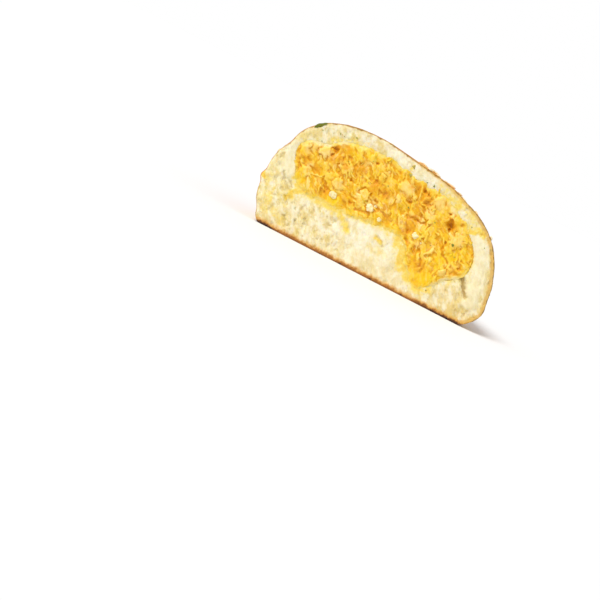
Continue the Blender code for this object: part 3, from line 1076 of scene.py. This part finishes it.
def makeLumps(look, mass):
    rng = random.Random(5)
    tree = surfaceTree(mass)
    lumps = []
    for x, z, half in look["spots"]:
        place, _ = seenFromFront(tree, x, z)
        lump = added(bpy.ops.mesh.primitive_ico_sphere_add, "lump", subdivisions=4, radius=half * mm)
        bpy.ops.transform.resize(value=(rng.uniform(1.0, 1.25), 0.7, rng.uniform(0.8, 1.0)))
        bpy.ops.object.transform_apply(location=False, rotation=False, scale=True)
        lump.location = (7 * x * mm, 0, 3 * z * mm)  # each crumbles at a place of its own in the clouds
        crumbled(lump, look["crumbleSize"], look["crumble"] * half, 3, "GLOBAL")
        lump.location = (place + Vector((0, look["sunk"] * half, 0))) * mm
        lump.rotation_euler = (0, rng.uniform(-0.6, 0.6), 0)
        lumps.append(lump)
    piece = joined(lumps, [], "paleLumps")
    piece.data.materials.append(curd())
    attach(piece, "root")
    print("pale lumps:", len(piece.data.polygons), "faces")


def curd():
    mat = newMaterial("pale curd")
    colour = over(mat, "#FDEDC0", "#F8DA90", speckle(mat, 1.0, 4, 0.6), 0.35, 0.7)
    return finish(mat, Base_Color=colour, Roughness=0.5, Normal=bumped(mat, speckle(mat, 0.4, 3), 0.08),
                  Subsurface_Weight=0.4, Subsurface_Radius=(1.0, 0.8, 0.5), Subsurface_Scale=1.5 * mm)


# sesame on the crust

seedLook = {
    "halfSize": (1.5, 0.95, 0.45),
    "clusters": 62, "between": 6.2,
    "perCluster": (1, 3), "apart": (2.6, 4.6), "closest": 1.9,
    "centre": 0.3 * bakedTop,  # the height that they are strewn round
    "lowest": 20, "lowestSeed": 12,
    "fromCut": 2.5, "seedFromCut": 0.6,  # how near the cut a cluster and a seed may lie
    "above": 6,  # each is dropped on to the crust from so far out
    "bare": (4, 14, 40),  # none left of this, nearer the cut than this and above this
    "sizes": (0.85, 1.12),
    "sunk": 0.1,
    # (x, z): seeds seen edge on along the top of the cut
    "atEdge": [(7.2, 51.9), (9, 51.6), (11.2, 51.2), (42.2, 38.2)],
}


def seedShape(look):
    seed = lyingBall("seed kind", 9, 7, look["halfSize"])
    applied(seed, "SIMPLE_DEFORM", deform_method="TAPER", deform_axis="X", factor=0.75)
    points = places(seed)
    paintPoints(seed, "tip", np.clip(points[:, 0] / points[:, 0].min(), 0, 1))
    return seed


def seedSpots(look, tree, rng):
    # where to look for the crust from, and which way
    middle = Vector((0, cutY, look["centre"]))
    centres, spots = [], []
    while len(centres) < look["clusters"]:
        way = Vector((rng.gauss(0, 1), abs(rng.gauss(0, 1)), rng.gauss(0, 1))).normalized()
        place, normal, _, _ = tree.ray_cast(middle + way * farOff, -way)
        if place.z < look["lowest"] or place.y < cutY + look["fromCut"] or normal.y < -0.2:
            continue
        if any((place - other).length < look["between"] for other in centres):
            continue
        centres.append(place)
        side = normal.orthogonal().normalized()
        turn = rng.uniform(0, fullCircle)
        for number in range(rng.randint(*look["perCluster"])):
            aside = side.copy()
            aside.rotate(Matrix.Rotation(turn + number * rng.uniform(1.6, 2.6), 3, normal))
            reach = 0 if number == 0 else rng.uniform(*look["apart"])
            spots.append((place + aside * reach + normal * look["above"], -normal))
    for x, z in look["atEdge"]:
        out = Vector((x, 0, z - look["centre"])).normalized()
        spots.append((Vector((x, cutY + rng.uniform(0.9, 1.6), z)) + out * look["above"], -out))
    return spots


def makeSeeds(look, roll):
    rng = random.Random(47)
    kind = seedShape(look)
    tree = surfaceTree(roll)
    bareLeft, bareNear, bareAbove = look["bare"]
    copies, kept = [], []
    for start, way in seedSpots(look, tree, rng):
        place, normal, _, _ = tree.ray_cast(start, way)
        if place is None or place.y < cutY + look["seedFromCut"] or place.z < look["lowestSeed"]:
            continue
        if place.x < bareLeft and place.y < cutY + bareNear and place.z > bareAbove:
            continue
        if any((place - other).length < look["closest"] for other in kept):
            continue
        kept.append(place)
        flat = normal.orthogonal().normalized()
        flat.rotate(Matrix.Rotation(rng.uniform(0, fullCircle), 3, normal))
        out = normal.copy()
        out.rotate(Euler((rng.gauss(0, 0.1), rng.gauss(0, 0.1), 0)))
        lift = look["halfSize"][2] - look["sunk"]
        copy = placedCopy(kind, place + normal * lift, facing(out, flat), rng.uniform(*look["sizes"]))
        paintPoints(copy, "toast", np.full(len(copy.data.vertices), rng.betavariate(1.3, 3)))
        copies.append(copy)
    seeds = joined(copies, [kind], "sesameSeeds")
    seeds.data.materials.append(seedSkin())
    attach(seeds, "root")
    print("sesame seeds:", len(copies))


def seedSkin():
    mat = newMaterial("toasted seed")
    colour = layered(mat, "#FFEFC8", [
        ("#EFC88C", attribute(mat, "toast"), 0.1, 0.8),
        ("#C98F4A", attribute(mat, "tip"), 0.55, 1.0, 0.6),
        ("#DDB37C", speckle(mat, 0.5, 3), 0.5, 0.8, 0.35),
    ])
    return finish(mat, Base_Color=colour, Roughness=0.42, Subsurface_Weight=0.25,
                  Subsurface_Radius=(1.0, 0.8, 0.5), Subsurface_Scale=0.8 * mm,
                  Normal=bumped(mat, speckle(mat, 0.35, 2), 0.03))


# herbs: chopped flecks at the cut, and one leaf on the crust's edge

herbLook = {
    "kinds": 5, "radius": 0.5, "thickness": 0.16,
    "lift": 0.04,
    # (x, z, length, shade): the shade goes from 0 for olive to 1 for dark green
    "spots": [
        (-32.7, 48.5, 1.3, 0.4), (-30.7, 48.2, 0.8, 0.6), (-25.8, 50, 1.5, 0.3), (-39.7, 46.4, 0.7, 0.5),
        (-38.2, 42.3, 0.8, 0.5), (-40.8, 38.3, 0.8, 0.0), (-36.6, 37.2, 0.8, 0.9), (0.5, 50.2, 2.0, 0.1),
        (0.9, 46.4, 2.2, 0.2), (8.4, 46.9, 0.9, 0.6), (11.6, 46.9, 1.3, 0.8), (6.2, 34.2, 0.9, 0.7),
        (18.7, 33.7, 0.8, 0.6), (-5.3, 38.3, 0.8, 0.5), (41.7, 33.7, 0.8, 0.4), (44.4, 34.2, 0.8, 0.3),
        (33.2, 38.9, 0.9, 0.5), (29.6, 28.8, 1.7, 0.9), (27.6, 45, 0.8, 0.4), (28.4, 6.9, 0.7, 1.0),
        (-24.4, 39.9, 0.8, 0.8), (-15.4, 44.6, 0.7, 0.6), (21.4, 24.4, 0.7, 0.6), (-29.4, 32.2, 0.7, 0.4),
        (32.4, 24.6, 0.8, 0.5), (-10.6, 41.2, 0.7, 0.5),
    ],
    "leafLine": [(-43.6, 46.0), (-41.7, 48.0), (-39.4, 49.7)],  # the cut's edge under the leaf
    "leafWidth": 0.8, "leafThickness": 0.14,
    "leafLift": 0.16, "leafCurl": 0.12,
}


def fleckShape(number, look, rng):
    thickness = look["thickness"] * mm
    fleck = added(bpy.ops.mesh.primitive_circle_add, "fleck kind %d" % number, vertices=8,
                  radius=look["radius"] * mm, fill_type="NGON")
    bpy.ops.object.mode_set(mode="EDIT")
    bpy.ops.mesh.extrude_region_move(TRANSFORM_OT_translate={"value": (0, 0, thickness)})
    bpy.ops.mesh.select_all(action="SELECT")
    bpy.ops.transform.translate(value=(0, 0, -thickness / 2))
    bpy.ops.mesh.normals_make_consistent(inside=False)
    bpy.ops.object.mode_set(mode="OBJECT")
    points = places(fleck)
    angle = np.arctan2(points[:, 1], points[:, 0])
    ragged = 0.8 + 0.3 * np.sin(3 * angle + rng.uniform(0, 6))
    ragged += 0.15 * np.sin(5 * angle + rng.uniform(0, 6))
    points[:, :2] *= ragged[:, None]
    points[:, 1] *= rng.uniform(0.45, 0.8)
    setPlaces(fleck, points)
    bent(fleck, "BEND", "Z", rng.uniform(-40, 40))
    return fleck


def makeHerbs(look, pieces):
    rng = random.Random(61)
    kinds = [fleckShape(number, look, rng) for number in range(look["kinds"])]
    trees = [surfaceTree(piece) for piece in pieces]
    copies = []
    for x, z, length, shade in look["spots"]:
        hits = [seenFromFront(tree, x, z) for tree in trees]
        place, normal = min((hit for hit in hits if hit[0]), key=lambda hit: hit[0].y)
        out = (normal + Vector((0, -1, 0))).normalized()
        lean = rng.uniform(-1.4, 0.2)
        turn = facing(out, Vector((math.cos(lean), 0, math.sin(lean))))
        copy = placedCopy(rng.choice(kinds), place + out * look["lift"], turn, length)
        paintPoints(copy, "shade", np.full(len(copy.data.vertices), shade))
        copies.append(copy)
    copies.append(leafBit(look, trees[0]))
    herbs = joined(copies, kinds, "herbFlecks")
    herbs.data.materials.append(choppedLeaf())
    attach(herbs, "root")
    print("herb flecks:", len(copies))


def leafBit(look, tree):
    # a strip of leaf baked on to the crust, folded over the edge of the cut
    leaf = added(bpy.ops.mesh.primitive_grid_add, "leaf bit", x_subdivisions=14, y_subdivisions=6,
                 size=1 * mm)
    ends = [Vector((x, cutY, z)) for x, z in look["leafLine"]]
    points = []
    for share, across, _ in places(leaf):
        step = (share + 0.5) * 2
        start = min(int(step), 1)
        spot = ends[start].lerp(ends[start + 1], step - start)
        width = look["leafWidth"] * math.sin(math.pi * (0.1 + 0.82 * (share + 0.5)))
        width *= 1 + 0.2 * math.sin(19 * share)
        if across > 0:
            spot += Vector((0.5, -0.2 / width, -0.9)) * 2 * across * width
        else:
            spot += Vector((0, -3 * across * width, 0.2))
        nearest, normal, _, _ = tree.find_nearest(spot)
        lift = look["leafLift"] + look["leafCurl"] * math.sin(11 * share + 7 * across)
        points.append(nearest + normal * lift)
    setPlaces(leaf, np.array([tuple(p) for p in points]))
    applied(leaf, "SOLIDIFY", thickness=look["leafThickness"] * mm, offset=0)
    applied(leaf, "SUBSURF", levels=1, render_levels=1)
    paintPoints(leaf, "shade", np.full(len(leaf.data.vertices), 1.0))
    return leaf


def choppedLeaf():
    mat = newMaterial("chopped leaf")
    colour = ramped(mat, attribute(mat, "shade"), [(0.0, "#C4AA4E"), (0.35, "#B8B054"), (0.7, "#98A048"),
                                                   (1.0, "#62680E")])
    colour = over(mat, colour, "#8A8636", speckle(mat, 0.6, 3), 0.45, 0.7, 0.4)
    return finish(mat, Base_Color=colour, Roughness=0.6, Specular_IOR_Level=0.2,
                  Normal=bumped(mat, speckle(mat, 0.4, 2), 0.05))


# charred bits along the foot of the crust

charLook = {
    # (x, z, length, height) along the cut's lower edge
    "atCut": [(-45.6, 0.5, 2.4, 0.7), (-43.6, 0.45, 1.6, 0.6), (-41.2, 0.4, 1.3, 0.5), (41.2, 0.6, 1.5, 0.8),
              (43.6, 0.5, 1.2, 0.6), (45.4, 0.7, 1.5, 0.8), (36.4, 0.5, 1.3, 0.5), (34.2, 0.4, 1.0, 0.5),
              (38.8, 0.5, 1.2, 0.6), (-8.6, 0.5, 1.1, 0.5), (5.4, 0.5, 1.2, 0.5), (20, 0.5, 1.0, 0.5)],
    "round": 34,  # more of them, anywhere round the foot
    "crumbleSize": 0.6, "crumble": 0.45,
}


def makeChar(look, roll):
    rng = random.Random(71)
    kind = added(bpy.ops.mesh.primitive_ico_sphere_add, "char kind", subdivisions=2, radius=0.5 * mm)
    crumbled(kind, look["crumbleSize"], look["crumble"])
    tree = surfaceTree(roll)
    copies = []
    for x, z, length, height in look["atCut"]:
        copy = placedCopy(kind, Vector((x, cutY + 0.35, z)), Matrix.Identity(3))
        copy.scale = (length, 0.9, height)
        copies.append(copy)
    middle = Vector((0, cutY, 0))
    for _ in range(look["round"]):
        angle = rng.uniform(0.02, 0.98) * math.pi
        z = rng.uniform(0.35, 1.5)
        way = Vector((math.cos(angle), math.sin(angle), 0))
        place, normal, _, _ = tree.ray_cast(middle + way * farOff + Vector((0, 0, z)), -way)
        copy = placedCopy(kind, place, facing(normal, way.cross(Vector((0, 0, 1)))))
        copy.scale = (rng.uniform(0.6, 2.4), rng.uniform(0.4, 0.8), rng.uniform(0.3, 0.6))
        copies.append(copy)
    crumbs = joined(copies, [kind], "charCrumbs")
    points = places(crumbs)
    points[:, 2] = np.maximum(points[:, 2], 0.02)
    setPlaces(crumbs, points)
    crumbs.data.materials.append(charred())
    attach(crumbs, "root")
    print("char crumbs:", len(copies))


def charred():
    mat = newMaterial("charred crumbs")
    colour = over(mat, "#2A1A10", "#5A3416", speckle(mat, 0.7, 3), 0.4, 0.7)
    return finish(mat, Base_Color=colour, Roughness=0.75, Normal=bumped(mat, speckle(mat, 0.4, 3), 0.08))


# floor, light and camera

stageLook = {
    "floorSize": 3000,
    "sky": 0.56, "backdrop": 1.0,
    "sun": 2.2, "softness": 24,
    "sunHeight": 52, "sunSide": -42,  # degrees, the side counted to the right from the front
}
cameraLook = {
    "lens": 100, "distance": 692,
    "elevation": 4.5, "lean": 27.2,  # degrees: the roll lies aslant in the picture
    # degrees turned to the left and up, because the roll stands up and right of the middle
    "pan": 3.0, "nod": -2.9,
}


def makeStage(look):
    floor = added(bpy.ops.mesh.primitive_plane_add, "floor", size=look["floorSize"] * mm)
    floor.data.materials.append(finish(newMaterial("plain pale floor"), Base_Color=(0.93, 0.93, 0.93, 1),
                                       Roughness=0.9, Specular_IOR_Level=0.1))
    floor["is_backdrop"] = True
    world = bpy.data.worlds.new("studio")
    world.use_nodes = True
    nodes, links = world.node_tree.nodes, world.node_tree.links
    sky = nodes["Background"]
    backdrop = nodes.new("ShaderNodeBackground")
    for background, strength in ((sky, look["sky"]), (backdrop, look["backdrop"])):
        background.inputs["Strength"].default_value = strength
        background.inputs["Color"].default_value = (1, 1, 1, 1)
    choice = nodes.new("ShaderNodeMixShader")
    links.new(nodes.new("ShaderNodeLightPath").outputs["Is Camera Ray"], choice.inputs["Fac"])
    links.new(sky.outputs["Background"], choice.inputs[1])
    links.new(backdrop.outputs["Background"], choice.inputs[2])
    links.new(choice.outputs["Shader"], nodes["World Output"].inputs["Surface"])
    bpy.context.scene.world = world
    height, side = math.radians(look["sunHeight"]), math.radians(look["sunSide"])
    spot = Vector((math.sin(side) * math.cos(height), -math.cos(side) * math.cos(height), math.sin(height)))
    bpy.ops.object.light_add(type="SUN", location=spot)
    sun = bpy.context.object
    sun.name = "sun"
    sun.data.energy = look["sun"]
    sun.data.angle = math.radians(look["softness"])
    sun.rotation_mode = "QUATERNION"
    sun.rotation_quaternion = (-spot).to_track_quat("-Z", "Y")


def makeCamera(look):
    low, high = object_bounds()
    target = Vector((0, cutY * mm, (low.z + high.z) / 2))
    rise = math.radians(look["elevation"])
    back = Vector((0, -math.cos(rise), math.sin(rise)))
    bpy.ops.object.camera_add(location=target + back * look["distance"] * mm)
    camera = bpy.context.object
    camera.data.lens = look["lens"]
    camera.rotation_euler = (math.radians(90) - rise, 0, 0)
    camera.rotation_euler.rotate_axis("Z", math.radians(look["lean"]))
    camera.rotation_euler.rotate_axis("Y", math.radians(look["pan"]))
    camera.rotation_euler.rotate_axis("X", math.radians(look["nod"]))
    bpy.context.scene.camera = camera
    print("floor, light and camera in place")


roll = makeRoll(rollLook)
mass = makeFilling(fillingLook)
shreds = makeShreds(shredLook, mass)
makeLumps(lumpLook, mass)
makeSeeds(seedLook, roll)
makeHerbs(herbLook, [roll, mass, shreds])
makeChar(charLook, roll)
makeStage(stageLook)
makeCamera(cameraLook)
bpy.context.scene.view_settings.view_transform = "Standard"
